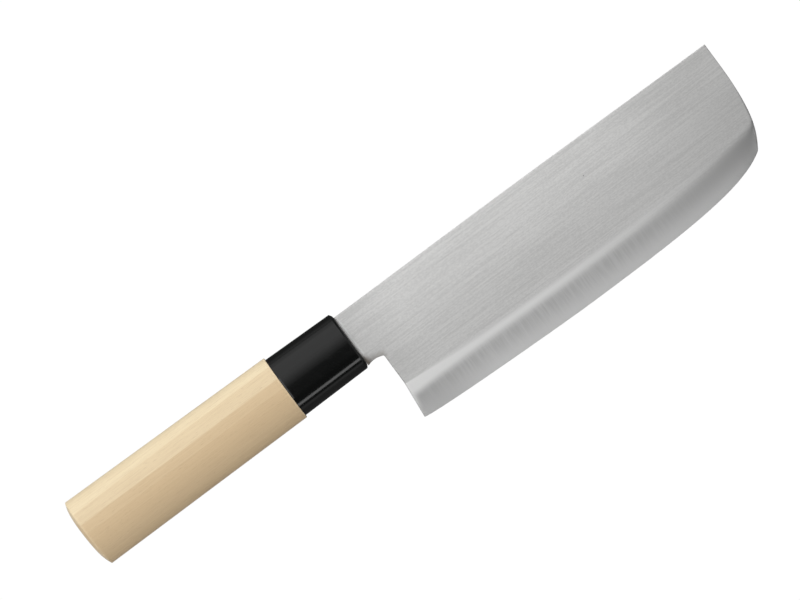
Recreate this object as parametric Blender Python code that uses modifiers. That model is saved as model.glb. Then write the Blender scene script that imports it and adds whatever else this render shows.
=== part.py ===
"""Usuba: a square-nosed Japanese vegetable knife with a single ground face and a wooden handle.

The knife lies flat. +X runs from the butt to the tip, +Y towards the spine and +Z out of the
ground face. All sizes are metres. Inside this file the ferrule's front face is x = 0, the
handle's middle line is y = 0 and its middle plane is z = 0. One empty carries every piece and
moves them so that the knife's box is centred on the world's X and Y and rests on z = 0.
"""
import math

import bmesh
import bpy
from mathutils import Matrix, Vector
from mathutils.geometry import interpolate_bezier

# Blade outline, as seen on the ground face
BLADE_REACH = 0.1704        # ferrule face to the front of the tip
BLADE_HEIGHT = 0.0522       # spine to the lowest point of the edge
BLADE_THICKNESS = 0.0024
SPINE_RISE = 0.0102         # spine above the handle's middle line
HEEL_SETBACK = 0.0068       # ferrule face to the rear edge of the blade
HEEL_UNDERCUT = 0.0016      # how far the rear edge leans back down to the heel corner
HEEL_LIFT = 0.0027          # heel corner above the lowest point of the edge
BELLY_FROM_HEEL = 0.0774    # heel corner to the lowest point of the edge, along the blade
NOSE_SETBACK = 0.0090       # nose of the edge behind the tip
NOSE_LIFT = 0.0079          # nose of the edge above its lowest point
NOSE_ANGLE = math.radians(36.5)
HEEL_SLOPE = math.radians(6.0)
HEEL_EASE = 0.0141          # the "ease" sizes are how long each end of a curve keeps its direction
BELLY_EASE_REAR = 0.0160
BELLY_EASE_FRONT = 0.0320
NOSE_EASE_REAR = 0.0135
NOSE_EASE_FRONT = 0.0094
FRONT_EASE = 0.0158
FRONT_STRAIGHT = 0.0098     # straight part of the front, down from the tip's square corner
CORNER_BREAK = 0.00022      # small chamfer on the spine, the front, the heel and the neck

# Ground bevel on the front face and hollow on the back face
BEVEL_AT_HEEL = 0.0142      # height of the bevel at the heel
RIDGE_FRONT_RISE = 0.0110   # where the ridge line runs out of the front, above the nose
RIDGE_FALL = math.radians(3.8)          # how the ridge line leaves the heel
RIDGE_CLIMB = math.radians(8.2)         # and how it reaches the front
RIDGE_EASE_REAR = 0.0433
RIDGE_EASE_FRONT = 0.0385
EDGE_LAND = 0.00015         # flat left at the cutting edge
BEVEL_BELLY = 0.00010       # how far the bevel swells out of a flat plane
HOLLOW_DEPTH = 0.00035
HOLLOW_RIM = 0.0040         # flat rim left round the hollow
HOLLOW_SKIN = 0.00002       # how far the hollow's grinding form starts below the back face

# Neck and hidden tang
NECK_HEIGHT = 0.0213
NECK_ARCH = 0.0006
HEEL_FILLET = 0.0008
TANG_LENGTH = 0.0780        # ferrule face to the tang's rear end
TANG_HEIGHT_FRONT = 0.0130
TANG_HEIGHT_REAR = 0.0080
TANG_THICKNESS = 0.0020
TANG_ROOT = 0.0020          # how far the tang's solid starts inside the neck, and slots run past a face

# Oval handle and ferrule: heights are across the blade, thickness is height times the flatness
OVAL_FLATNESS = 0.745
OVAL_STEPS = 64
FERRULE_LENGTH = 0.0295
FERRULE_HEIGHT_FRONT = 0.0247
FERRULE_HEIGHT_REAR = 0.0256
FERRULE_FRONT_WALL = 0.0040
FERRULE_SIDE_WALL = 0.0021
FERRULE_CORNER_ALONG = 0.0008
FERRULE_CORNER_IN = 0.0018
WOOD_LENGTH = 0.0923        # wood that shows, from the ferrule's rear to the butt
WOOD_HEIGHT_FRONT = 0.0268
WOOD_HEIGHT_REAR = 0.0283
WOOD_SHOULDER_BREAK = 0.0004
TENON_BREAK = 0.0008
BUTT_DOME = 0.0027          # how far the butt bulges past its crisp rim
BUTT_DOME_POWER = 4         # flat in the middle, falling away near the rim

# Clearances
JOINT_GAP = 0.0003          # between pieces that touch
TENON_GAP = 0.0004          # round the tenon, measured across the blade
BEDDING_WALL = 0.0009       # resin on each side of the tang
BEDDING_FLOOR = 0.0020      # resin behind the tang's end

# How finely curves are divided
REAR_EDGE_POINTS = 12
FRONT_EDGE_POINTS = 22
NOSE_POINTS = 30
RIDGE_POINTS = 200
BEVEL_ROWS = (0, 0.3, 0.6, 0.85, 1)     # shares of the way from the edge to the ridge line
HOLLOW_STATIONS = 28
HOLLOW_POINTS_ACROSS = 13
HOLLOW_END_POWER = 8                    # how late the hollow dies out towards its ends
NECK_POINTS = 7
ROUNDING_POINTS = 6
DOME_POINTS = 9
WELD = 1e-6
SHARP_ANGLE = math.radians(35)

# Places that follow from the sizes
BLADE_TOP = BLADE_THICKNESS / 2
BLADE_BACK = -BLADE_THICKNESS / 2
EDGE_LOW_Y = SPINE_RISE - BLADE_HEIGHT
HEEL = Vector((HEEL_SETBACK - HEEL_UNDERCUT, EDGE_LOW_Y + HEEL_LIFT, 0))
RIDGE_REAR = Vector((HEEL_SETBACK, HEEL.y + BEVEL_AT_HEEL, 0))
BELLY = Vector((HEEL.x + BELLY_FROM_HEEL, EDGE_LOW_Y, 0))
NOSE = Vector((BLADE_REACH - NOSE_SETBACK, EDGE_LOW_Y + NOSE_LIFT, 0))
FRONT_TOP = Vector((BLADE_REACH, SPINE_RISE - FRONT_STRAIGHT, 0))
TIP = Vector((BLADE_REACH, SPINE_RISE, 0))
NECK_UNDER_Y = SPINE_RISE - NECK_HEIGHT
SHOULDER_X = -FERRULE_LENGTH - JOINT_GAP
BUTT_X = SHOULDER_X - WOOD_LENGTH
TENON_X = -FERRULE_FRONT_WALL - JOINT_GAP
BEDDING_END_X = -TANG_LENGTH - JOINT_GAP - BEDDING_FLOOR
BORE_RADIUS = FERRULE_HEIGHT_FRONT / 2 - FERRULE_SIDE_WALL
TENON_RADIUS = BORE_RADIUS - TENON_GAP


def clear_scene():
    for thing in list(bpy.data.objects):
        bpy.data.objects.remove(thing, do_unlink=True)


def new_collection(name):
    group = bpy.data.collections.new(name)
    bpy.context.scene.collection.children.link(group)
    return group


def finish(name, colour, roughness, metallic):
    """A plain finish for one piece."""
    material = bpy.data.materials.new(name)
    material.use_nodes = True
    shader = material.node_tree.nodes["Principled BSDF"]
    shader.inputs["Base Color"].default_value = (*colour, 1)
    shader.inputs["Roughness"].default_value = roughness
    shader.inputs["Metallic"].default_value = metallic
    return material


def place(thing, group):
    """Links an object into its collection and hangs it on the knife's own frame."""
    group.objects.link(thing)
    thing.parent = knife_frame
    if group == cutters:
        thing.hide_render = True
        thing.display_type = "WIRE"
    return thing


def mesh_object(name, shape, group):
    """Turns a bmesh into an object whose faces all point outwards."""
    bmesh.ops.recalc_face_normals(shape, faces=shape.faces)
    mesh = bpy.data.meshes.new(name)
    shape.to_mesh(mesh)
    shape.free()
    return place(bpy.data.objects.new(name, mesh), group)


def combine(piece, other, operation):
    change = piece.modifiers.new(f"{operation.lower()}_{other.name}", "BOOLEAN")
    change.operation = operation
    change.object = other
    change.solver = "EXACT"


def tang_bar(name, front_x, rear_x, grow, group):
    """A flat bar with the tang's own taper, grown by the same amount above, below and on each face."""
    curve = bpy.data.curves.new(name, "CURVE")
    curve.dimensions = "2D"
    curve.fill_mode = "BOTH"
    curve.extrude = TANG_THICKNESS / 2 + grow
    taper = (TANG_HEIGHT_FRONT - TANG_HEIGHT_REAR) / TANG_LENGTH
    front_half = (TANG_HEIGHT_FRONT + taper * front_x) / 2 + grow
    rear_half = (TANG_HEIGHT_FRONT + taper * rear_x) / 2 + grow
    corners = [(front_x, front_half), (rear_x, rear_half), (rear_x, -rear_half), (front_x, -front_half)]
    outline = curve.splines.new("POLY")
    outline.points.add(len(corners) - 1)
    for point, (x, y) in zip(outline.points, corners):
        point.co = (x, y, 0, 1)
    outline.use_cyclic_u = True
    drawn = bpy.data.objects.new(name, curve)
    bpy.context.scene.collection.objects.link(drawn)
    solid = baked_shape(drawn)
    solid.transform(drawn.matrix_world)
    bpy.data.objects.remove(drawn)
    return mesh_object(name, solid, group)


def baked_shape(source):
    """The evaluated mesh of an object as a welded bmesh."""
    graph = bpy.context.evaluated_depsgraph_get()
    mesh = bpy.data.meshes.new_from_object(source.evaluated_get(graph))
    shape = bmesh.new()
    shape.from_mesh(mesh)
    bpy.data.meshes.remove(mesh)
    bmesh.ops.remove_doubles(shape, verts=shape.verts, dist=WELD)
    return shape


def turned_oval(name, profile, group):
    """Turns a profile of (place along the knife, radius) and flattens it into an oval."""
    mesh = bpy.data.meshes.new(name)
    rim = [(radius, 0, along) for along, radius in profile]
    mesh.from_pydata(rim, [(i, i + 1) for i in range(len(rim) - 1)], [])
    blank = bpy.data.objects.new(name, mesh)
    bpy.context.scene.collection.objects.link(blank)
    turn = blank.modifiers.new("turn", "SCREW")
    turn.steps = OVAL_STEPS
    turn.render_steps = OVAL_STEPS
    turn.use_merge_vertices = True
    turn.merge_threshold = WELD
    shape = baked_shape(blank)
    bpy.data.objects.remove(blank)
    shape.transform(Matrix.Rotation(math.radians(90), 4, "Y") @ Matrix.Diagonal((OVAL_FLATNESS, 1, 1, 1)))
    piece = mesh_object(name, shape, group)
    piece.data.shade_smooth()
    piece.data.set_sharp_from_angle(angle=SHARP_ANGLE)
    return piece


def arc(centre, radii, start, end):
    """Points on an ellipse's arc, angles in degrees, ends included."""
    last = ROUNDING_POINTS - 1
    turn = [math.radians(start + (end - start) * i / last) for i in range(ROUNDING_POINTS)]
    return [(centre[0] + radii[0] * math.cos(a), centre[1] + radii[1] * math.sin(a)) for a in turn]


def direction(angle):
    return Vector((math.cos(angle), math.sin(angle), 0))


def cutting_edge():
    """The edge seen from above, heel to nose, then up the front as far as the square corner."""
    heel_to_belly = interpolate_bezier(
        HEEL, HEEL + HEEL_EASE * direction(-HEEL_SLOPE),
        BELLY - Vector((BELLY_EASE_REAR, 0, 0)), BELLY, REAR_EDGE_POINTS)
    belly_to_nose = interpolate_bezier(
        BELLY, BELLY + Vector((BELLY_EASE_FRONT, 0, 0)),
        NOSE - NOSE_EASE_REAR * direction(NOSE_ANGLE), NOSE, FRONT_EDGE_POINTS)
    nose_to_front = interpolate_bezier(
        NOSE, NOSE + NOSE_EASE_FRONT * direction(NOSE_ANGLE),
        FRONT_TOP - Vector((0, FRONT_EASE, 0)), FRONT_TOP, NOSE_POINTS)
    edge = heel_to_belly + belly_to_nose[1:]
    return edge, nose_to_front


def ridge_line(run_out):
    """The line where the bevel meets the flat, from the heel to where it runs out of the front."""
    return interpolate_bezier(
        RIDGE_REAR, RIDGE_REAR + RIDGE_EASE_REAR * direction(-RIDGE_FALL),
        run_out - RIDGE_EASE_FRONT * direction(RIDGE_CLIMB), run_out, RIDGE_POINTS)


def neck_and_heel():
    """The outline from the neck's shoulder, along its arched underside and down the blade's rear."""
    fillet_centre = (HEEL_SETBACK - HEEL_FILLET, NECK_UNDER_Y - NECK_ARCH - HEEL_FILLET)
    start, end = JOINT_GAP, fillet_centre[0]
    underside = []
    for step in range(NECK_POINTS):
        share = step / (NECK_POINTS - 1)
        drop = NECK_ARCH * (2 * share - 1) ** 2
        underside.append((start + (end - start) * share, NECK_UNDER_Y - drop))
    corner = arc(fillet_centre, (HEEL_FILLET, HEEL_FILLET), 90, 0)
    return [Vector((x, y, 0)) for x, y in underside + corner[1:]]


def ground_blade(name, group):
    """Blade and neck: a flat bar whose lower front face is ground away to the edge.

    Between the edge and the ridge line the bevel is a loft. Towards the front the two lines meet,
    so the edge thickens there into the blade's square front.
    """
    edge, front = cutting_edge()
    run_out_height = NOSE.y + RIDGE_FRONT_RISE
    run_out = min(range(1, len(front) - 1), key=lambda i: abs(front[i].y - run_out_height))
    nose_index = len(edge) - 1
    outer = edge + front[1:run_out + 1]
    ridge = ridge_line(outer[-1])
    last = len(outer) - 1

    def ridge_point(index):
        share = (outer[index].x - outer[0].x) / (outer[last].x - outer[0].x)
        x = ridge[0].x + (ridge[-1].x - ridge[0].x) * share
        return min(ridge, key=lambda spot: abs(spot.x - x))

    def rim_thickness(index):
        past_nose = max(0, index - nose_index) / (last - nose_index)
        return EDGE_LAND + (BLADE_THICKNESS - EDGE_LAND) * past_nose ** 2

    shape = bmesh.new()
    rows = []
    for share in BEVEL_ROWS:
        row = []
        for index in range(last + 1):
            start_z = BLADE_BACK + rim_thickness(index)
            swell = 4 * BEVEL_BELLY * share * (1 - share) * (BLADE_TOP - start_z) / BLADE_THICKNESS
            spot = outer[index].lerp(ridge_point(index), share)
            spot.z = start_z + (BLADE_TOP - start_z) * share + swell
            row.append(shape.verts.new(spot))
        rows.append(row)
    for low, high in zip(rows, rows[1:]):
        for i in range(last):
            shape.faces.new((low[i], low[i + 1], high[i + 1], high[i]))

    under = [shape.verts.new((spot.x, spot.y, BLADE_BACK)) for spot in outer]
    for i in range(last):
        shape.faces.new((under[i], under[i + 1], rows[0][i + 1], rows[0][i]))

    plain = front[run_out + 1:] + [TIP, Vector((JOINT_GAP, SPINE_RISE, 0))] + neck_and_heel()
    over_plain = [shape.verts.new((spot.x, spot.y, BLADE_TOP)) for spot in plain]
    under_plain = [shape.verts.new((spot.x, spot.y, BLADE_BACK)) for spot in plain]
    heel_back = shape.verts.new((RIDGE_REAR.x, RIDGE_REAR.y, BLADE_BACK))
    over = [rows[-1][last]] + over_plain + [rows[-1][0]]
    below = [under[last]] + under_plain + [heel_back]
    for i in range(len(over) - 1):
        shape.faces.new((below[i], below[i + 1], over[i + 1], over[i]))
    shape.faces.new(rows[-1][:last] + over[:-1])
    shape.faces.new(under[:last] + below)
    shape.faces.new([heel_back, under[0]] + [row[0] for row in rows])

    weight = shape.edges.layers.float.new("bevel_weight_edge")
    for rim in (over[1:], below[1:]):
        for first, second in zip(rim, rim[1:]):
            shape.edges.get((first, second))[weight] = 1
    bmesh.ops.remove_doubles(shape, verts=shape.verts, dist=WELD)
    return mesh_object(name, shape, group)


def edge_height(line, x):
    """Height of the edge line at one place along the blade."""
    for first, second in zip(line, line[1:]):
        if first.x <= x <= second.x:
            return first.lerp(second, (x - first.x) / (second.x - first.x)).y
    return line[-1].y


def hollow_form(name, group):
    """The grinding form for the back: a shallow arch across the blade that dies out at both ends."""
    edge, front = cutting_edge()
    line = edge + front[1:]
    start = HEEL_SETBACK + HOLLOW_RIM
    end = BLADE_REACH - HOLLOW_RIM - NOSE_SETBACK / 2
    shape = bmesh.new()
    sections = []
    for i in range(HOLLOW_STATIONS):
        share = (1 - math.cos(math.pi * i / (HOLLOW_STATIONS - 1))) / 2
        x = start + (end - start) * share
        low, high = edge_height(line, x) + HOLLOW_RIM, SPINE_RISE - HOLLOW_RIM
        depth = HOLLOW_DEPTH * (1 - (2 * share - 1) ** HOLLOW_END_POWER)
        section = []
        for j in range(HOLLOW_POINTS_ACROSS):
            across = 2 * j / (HOLLOW_POINTS_ACROSS - 1) - 1
            lift = (depth + HOLLOW_SKIN) * (1 - across ** 2) - HOLLOW_SKIN
            y = low + (high - low) * (across + 1) / 2
            section.append(shape.verts.new((x, y, BLADE_BACK + lift)))
        for y in (high, low):
            section.append(shape.verts.new((x, y, BLADE_BACK - BLADE_THICKNESS)))
        sections.append(section)
    for near, far in zip(sections, sections[1:]):
        for j in range(len(near)):
            k = (j + 1) % len(near)
            shape.faces.new((near[j], near[k], far[k], far[j]))
    shape.faces.new(sections[0])
    shape.faces.new(sections[-1])
    return mesh_object(name, shape, group)


def make_blade():
    blade = ground_blade("blade", knife)
    chamfer = blade.modifiers.new("broken_corners", "BEVEL")
    chamfer.limit_method = "WEIGHT"
    chamfer.width = CORNER_BREAK
    chamfer.segments = 1
    combine(blade, tang_bar("tang", JOINT_GAP + TANG_ROOT, -TANG_LENGTH, 0, cutters), "UNION")
    combine(blade, hollow_form("hollow_form", cutters), "DIFFERENCE")
    blade.data.materials.append(finish("brushed_steel", (0.50, 0.50, 0.49), 0.34, 1.0))
    return blade


def make_ferrule():
    """Moulded oval cap: a front wall with a tight slot for the tang, and a socket behind it."""
    front_radius, rear_radius = FERRULE_HEIGHT_FRONT / 2, FERRULE_HEIGHT_REAR / 2
    corner = arc((-FERRULE_CORNER_ALONG, front_radius - FERRULE_CORNER_IN),
                 (FERRULE_CORNER_ALONG, FERRULE_CORNER_IN), 0, 90)
    profile = [(0, 0)] + corner + [
        (-FERRULE_LENGTH, rear_radius),
        (-FERRULE_LENGTH, BORE_RADIUS),
        (-FERRULE_FRONT_WALL, BORE_RADIUS),
        (-FERRULE_FRONT_WALL, 0),
    ]
    ferrule = turned_oval("ferrule", profile, knife)
    slot = tang_bar("ferrule_slot", TANG_ROOT, -FERRULE_LENGTH, JOINT_GAP, cutters)
    combine(ferrule, slot, "DIFFERENCE")
    ferrule.data.materials.append(finish("black_plastic", (0.010, 0.010, 0.011), 0.12, 0.0))
    return ferrule


def make_handle():
    """Plain wood, oval and slightly thicker to the rear, with a tenon that fills the ferrule."""
    front_radius, rear_radius = WOOD_HEIGHT_FRONT / 2, WOOD_HEIGHT_REAR / 2
    dome = []
    for step in range(DOME_POINTS):
        share = math.sin(math.pi / 2 * (1 - step / (DOME_POINTS - 1)))
        dome.append((BUTT_X + BUTT_DOME * share ** BUTT_DOME_POWER, rear_radius * share))
    profile = [
        (TENON_X, 0),
        (TENON_X, TENON_RADIUS - TENON_BREAK),
        (TENON_X - TENON_BREAK, TENON_RADIUS),
        (SHOULDER_X, TENON_RADIUS),
        (SHOULDER_X, front_radius - WOOD_SHOULDER_BREAK),
        (SHOULDER_X - WOOD_SHOULDER_BREAK, front_radius),
    ] + dome
    handle = turned_oval("handle", profile, knife)
    hole = tang_bar("handle_hole", TENON_X + TANG_ROOT, BEDDING_END_X - JOINT_GAP,
                    JOINT_GAP + BEDDING_WALL + JOINT_GAP, cutters)
    combine(handle, hole, "DIFFERENCE")
    handle.data.materials.append(finish("pale_wood", (0.70, 0.54, 0.35), 0.55, 0.0))
    return handle


def make_bedding():
    """Cured resin that fills the burnt-in hole round the tang and holds the blade."""
    bedding = tang_bar("tang_bedding", TENON_X, BEDDING_END_X, JOINT_GAP + BEDDING_WALL, knife)
    slot = tang_bar("bedding_slot", TENON_X + TANG_ROOT, -TANG_LENGTH - JOINT_GAP, JOINT_GAP, cutters)
    combine(bedding, slot, "DIFFERENCE")
    bedding.data.materials.append(finish("cured_resin", (0.32, 0.17, 0.07), 0.40, 0.0))
    return bedding


clear_scene()
knife = new_collection("usuba_knife")
cutters = new_collection("cutters")
knife_frame = bpy.data.objects.new("knife_frame", None)
knife.objects.link(knife_frame)
knife_frame.location = (
    -(BLADE_REACH + BUTT_X) / 2,
    -(WOOD_HEIGHT_REAR / 2 + EDGE_LOW_Y) / 2,
    WOOD_HEIGHT_REAR * OVAL_FLATNESS / 2,
)
make_blade()
make_ferrule()
make_handle()
make_bedding()
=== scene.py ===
import math

import bmesh
import bpy
import numpy as np
from mathutils import Matrix, Vector
from mathutils.kdtree import KDTree


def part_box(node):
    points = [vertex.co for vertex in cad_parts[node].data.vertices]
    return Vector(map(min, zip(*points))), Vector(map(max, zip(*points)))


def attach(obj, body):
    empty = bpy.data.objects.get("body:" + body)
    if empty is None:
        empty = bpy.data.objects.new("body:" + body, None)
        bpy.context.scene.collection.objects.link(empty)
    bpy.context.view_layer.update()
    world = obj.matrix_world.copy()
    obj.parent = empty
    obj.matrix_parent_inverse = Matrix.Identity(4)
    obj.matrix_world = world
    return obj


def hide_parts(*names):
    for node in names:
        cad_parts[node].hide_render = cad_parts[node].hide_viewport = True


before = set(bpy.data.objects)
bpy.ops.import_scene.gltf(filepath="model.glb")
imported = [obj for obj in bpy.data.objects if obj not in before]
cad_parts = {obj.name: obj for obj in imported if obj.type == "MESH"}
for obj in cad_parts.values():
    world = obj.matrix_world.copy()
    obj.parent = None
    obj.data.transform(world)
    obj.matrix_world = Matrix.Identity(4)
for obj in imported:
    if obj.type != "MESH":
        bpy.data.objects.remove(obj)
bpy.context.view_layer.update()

# Blade
# One bar of stainless steel: a square-nosed blade, its neck and the hidden tang. It is brushed along
# its length, ground on this face down to the edge, and hollow ground on the back inside a flat rim.
# Lengths are measured from the ferrule's front face, the handle's middle line and its middle plane.
mm = 0.001
ferrule_low, ferrule_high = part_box("ferrule")
blade_low, blade_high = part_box("blade")
origin = Vector((ferrule_high.x, (ferrule_low.y + ferrule_high.y) / 2, (ferrule_low.z + ferrule_high.z) / 2))
REACH = blade_high.x - origin.x
SPINE_Y = blade_high.y - origin.y
INSET = 0.001 * mm           # keeps a rounded-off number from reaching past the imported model
EDGE_LOW_Y = blade_low.y - origin.y + INSET
HALF_STEEL = (blade_high.z - blade_low.z) / 2

NECK_X = 0.05 * mm
HEEL_X = 6.9 * mm
HEEL_CORNER = np.array((HEEL_X - 1.45 * mm, EDGE_LOW_Y + 2.65 * mm))
BELLY = np.array((HEEL_CORNER[0] + 71.5 * mm, EDGE_LOW_Y))     # where the edge is lowest
NOSE = np.array((REACH - 7.1 * mm, EDGE_LOW_Y + 8.9 * mm))
FRONT_TOP = np.array((REACH, SPINE_Y - 9.8 * mm))
TIP = np.array((REACH, SPINE_Y))
RIDGE_REAR = np.array((HEEL_X, HEEL_CORNER[1] + 14.4 * mm))
RUN_OUT_Y = NOSE[1] + 10.4 * mm
NOTCH_Y = SPINE_Y - 21.3 * mm
NOTCH_ARCH = 0.6 * mm
NOTCH_FILLET = 0.8 * mm
NOTCH_STEPS = 7
EDGE_LAND = 0.15 * mm
CROWN = 0.3 * mm             # the spine bows up by this much between the neck and the tip
CROWN_SKEW = 0.9             # under 1, the bow is highest nearer the neck
SPINE_STEPS = 100
TINY = 1e-9                  # keeps a division clear of zero


def part_way(start, end, share):
    """What lies at a share of the way from start to end."""
    return start + (end - start) * share


def pull(angle, length):
    """How far, and at what angle in degrees, a curve heads at one end."""
    return length * np.array((math.cos(math.radians(angle)), math.sin(math.radians(angle))))


def curve(start, leaving, arriving, end, count=160):
    """A smooth line that leaves its start and reaches its end along the two pulls."""
    t = np.linspace(0, 1, count)[:, None]
    near, far = start + leaving, end - arriving
    return (1 - t) ** 3 * start + 3 * (1 - t) ** 2 * t * near + 3 * (1 - t) * t ** 2 * far + t ** 3 * end


def run_of(line):
    """How far along a line each of its points lies."""
    return np.r_[0, np.cumsum(np.linalg.norm(np.diff(line, axis=0), axis=1))]


def spaced(line, shares):
    """Points at the given shares of a line's length."""
    run = run_of(line)
    return np.column_stack([np.interp(shares * run[-1], run, line[:, k]) for k in (0, 1)])


edge_line = np.vstack((
    curve(HEEL_CORNER, pull(-11, 8 * mm), pull(0, 6 * mm), BELLY),
    curve(BELLY, pull(0, 52 * mm), pull(34, 13.5 * mm), NOSE)[1:],
))
front_line = curve(NOSE, pull(60, 4.6 * mm), pull(90, 24.0 * mm), FRONT_TOP)
RUN_OUT = np.array((np.interp(RUN_OUT_Y, front_line[:, 1], front_line[:, 0]), RUN_OUT_Y))
ridge_line = curve(RIDGE_REAR, pull(-3.8, 43.3 * mm), pull(8.2, 38.5 * mm), RUN_OUT)
ground_line = np.vstack((edge_line, front_line[front_line[:, 1] < RUN_OUT_Y][1:], RUN_OUT))
upper_front = np.vstack((RUN_OUT, front_line[front_line[:, 1] > RUN_OUT_Y], TIP))
spine_shares = np.linspace(0, 1, SPINE_STEPS)
spine_line = np.column_stack((part_way(HEEL_X, REACH, spine_shares),
                              SPINE_Y + CROWN * np.sin(math.pi * spine_shares ** CROWN_SKEW) ** 2))

# The bevel has two slopes: a softened shoulder under the ridge, and the steeper ground face below it
SHOULDER_REAR = np.array((HEEL_CORNER[0] + 0.4 * mm, RIDGE_REAR[1] - 5.8 * mm))
SHOULDER_SLOPE = 0.55
SHOULDER_LIMITS = (0.3, 0.9)    # where its foot may lie, as shares of the way from the edge to the ridge
FOOT_SOFTNESS = 2.0 * mm    # half the width over which the one slope turns into the other
RIDGE_SLOPE = 0.12          # how steep the bevel starts at the ridge, against its full slope
RIDGE_ROUND = (0.6 * mm, 4.5 * mm)      # how far the ridge's rounding reaches, at the heel and at the nose
RIDGE_ROUND_POWER = 3       # it grows mostly near the nose
NOSE_RISE = 1.15            # above the nose the front edge thickens at nearly the bevel's own slope
shoulder_line = curve(SHOULDER_REAR, pull(2.0, 42 * mm), pull(25, 30.5 * mm), RUN_OUT)

ALONG = 250                 # points of the nets along the knife
GROUND_ROWS = 16
SHOULDER_ROWS = 10
CREASE = 0.3 * mm           # first row of the net on each side of the ridge
SPINE_HOLD = 0.35 * mm      # last row of the net below the spine, which keeps the flat's shading flat
HEEL_ROWS = 15
UPPER_ROWS = 26
HOLLOW_DEPTH = 0.35 * mm
HOLLOW_RIM = 4.0 * mm
HOLLOW_END_POWER = 8
NECK_EASE = 0.30 * mm       # how much the neck's underside is rubbed away on this face
NECK_EASE_REACH = 4.0 * mm


def net(low, high, left, right, across, up):
    """A net of points between four lines. Low and high run along the knife, left and right run up it."""
    u, v = across[None, :, None], up[:, None, None]
    corners = part_way(part_way(low[0], low[-1], u), part_way(high[0], high[-1], u), v)
    return part_way(low, high, v) + part_way(left[:, None], right[:, None], u) - corners


def height_of(line, x):
    return np.interp(x, line[:, 0], line[:, 1])


def eased(value):
    """Rises smoothly from 0 to 1 as the value does."""
    value = np.clip(value, 0, 1)
    return value * value * (3 - 2 * value)


def hollow_lift(points):
    """How far the back face is ground away: a shallow arch across the blade that dies out at both ends."""
    start, end = HEEL_X + HOLLOW_RIM, REACH - HOLLOW_RIM - (REACH - NOSE[0]) / 2
    outline = np.vstack((edge_line, front_line[1:]))
    low, high = height_of(outline, points[:, 0]) + HOLLOW_RIM, SPINE_Y - HOLLOW_RIM
    along = np.clip(2 * (points[:, 0] - start) / (end - start) - 1, -1, 1)
    across = np.clip(2 * (points[:, 1] - low) / (high - low) - 1, -1, 1)
    return HOLLOW_DEPTH * (1 - along ** HOLLOW_END_POWER) * (1 - across ** 2)


def notch_line():
    """The neck's arched underside, then the fillet into the blade's rear edge."""
    centre = np.array((HEEL_X - NOTCH_FILLET, NOTCH_Y - NOTCH_ARCH - NOTCH_FILLET))
    share = np.linspace(0, 1, NOTCH_STEPS)
    arch = np.column_stack((part_way(NECK_X, centre[0], share), NOTCH_Y - NOTCH_ARCH * (2 * share - 1) ** 2))
    turn = np.radians(np.linspace(90, 0, NOTCH_STEPS))
    return np.vstack((arch, centre + NOTCH_FILLET * np.column_stack((np.cos(turn), np.sin(turn)))[1:]))


def distance_to(line, points):
    """How far each point lies from a line of straight steps."""
    nearest = np.full(len(points), np.inf)
    for first, second in zip(line, line[1:]):
        step = second - first
        share = np.clip((points - first) @ step / max(step @ step, TINY ** 2), 0, 1)
        nearest = np.minimum(nearest, np.linalg.norm(points - first - share[:, None] * step, axis=1))
    return nearest


def bevel_net(low, ridge, across):
    """The ground bevel from the edge up to the ridge, and the height of its front face."""
    width = np.maximum(np.linalg.norm(ridge - low, axis=1), TINY)
    past_nose = np.clip((low[:, 1] - NOSE[1]) / (RUN_OUT_Y - NOSE[1]), 0, 1)
    edge_z = part_way(EDGE_LAND - HALF_STEEL, HALF_STEEL, past_nose ** NOSE_RISE)
    shoulder_drop = ridge[:, 1] - height_of(shoulder_line, ridge[:, 0])
    shoulder = np.clip(1 - shoulder_drop / width, *SHOULDER_LIMITS)
    crease = 1 - np.minimum(CREASE / width, (1 - shoulder) / SHOULDER_ROWS)
    rows = np.vstack((
        np.linspace(0, shoulder, GROUND_ROWS), np.linspace(shoulder, crease, SHOULDER_ROWS)[1:],
        np.ones(ALONG)))
    slope = part_way(1, SHOULDER_SLOPE, eased(0.5 + (rows - shoulder) * width / (2 * FOOT_SOFTNESS)))
    ridge_round = part_way(*RIDGE_ROUND, across ** RIDGE_ROUND_POWER)
    slope *= part_way(RIDGE_SLOPE, 1, eased((1 - rows) * width / ridge_round))
    climb = np.cumsum((slope[1:] + slope[:-1]) * np.diff(rows, axis=0), axis=0)
    climb = np.vstack((np.zeros(ALONG), climb / climb[-1]))
    return part_way(low, ridge, rows[:, :, None]), part_way(edge_z, HALF_STEEL, climb)


def flat_net(ridge, across, notch_top):
    """The flat from the ridge up to the spine, and the part of its rear line that the neck joins."""
    flat_height = SPINE_Y - RIDGE_REAR[1]
    notch_share = (notch_top - RIDGE_REAR[1]) / flat_height
    up = np.r_[0, np.linspace(CREASE / flat_height, notch_share, HEEL_ROWS),
               np.linspace(notch_share, 1, UPPER_ROWS)[1:-1], 1 - SPINE_HOLD / flat_height, 1]
    spine_x = part_way(HEEL_X, REACH, across)
    spine = np.column_stack((spine_x, height_of(spine_line, spine_x)))
    rear = np.column_stack((np.full(len(up), HEEL_X), part_way(RIDGE_REAR[1], SPINE_Y, up)))
    return net(ridge, spine, rear, spaced(upper_front, up), across, up), rear[HEEL_ROWS:]


def neck_net(notch, front):
    """The neck from its underside up to the spine, where front is the line in which it joins the flat."""
    up = (front[:, 1] - notch[-1, 1]) / (SPINE_Y - notch[-1, 1])
    across = run_of(notch) / run_of(notch)[-1]
    top = np.column_stack((part_way(NECK_X, HEEL_X, across), np.full(len(notch), SPINE_Y)))
    rear = np.column_stack((np.full(len(up), NECK_X), part_way(notch[0, 1], SPINE_Y, up)))
    return net(notch, top, rear, front, across, up)


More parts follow.
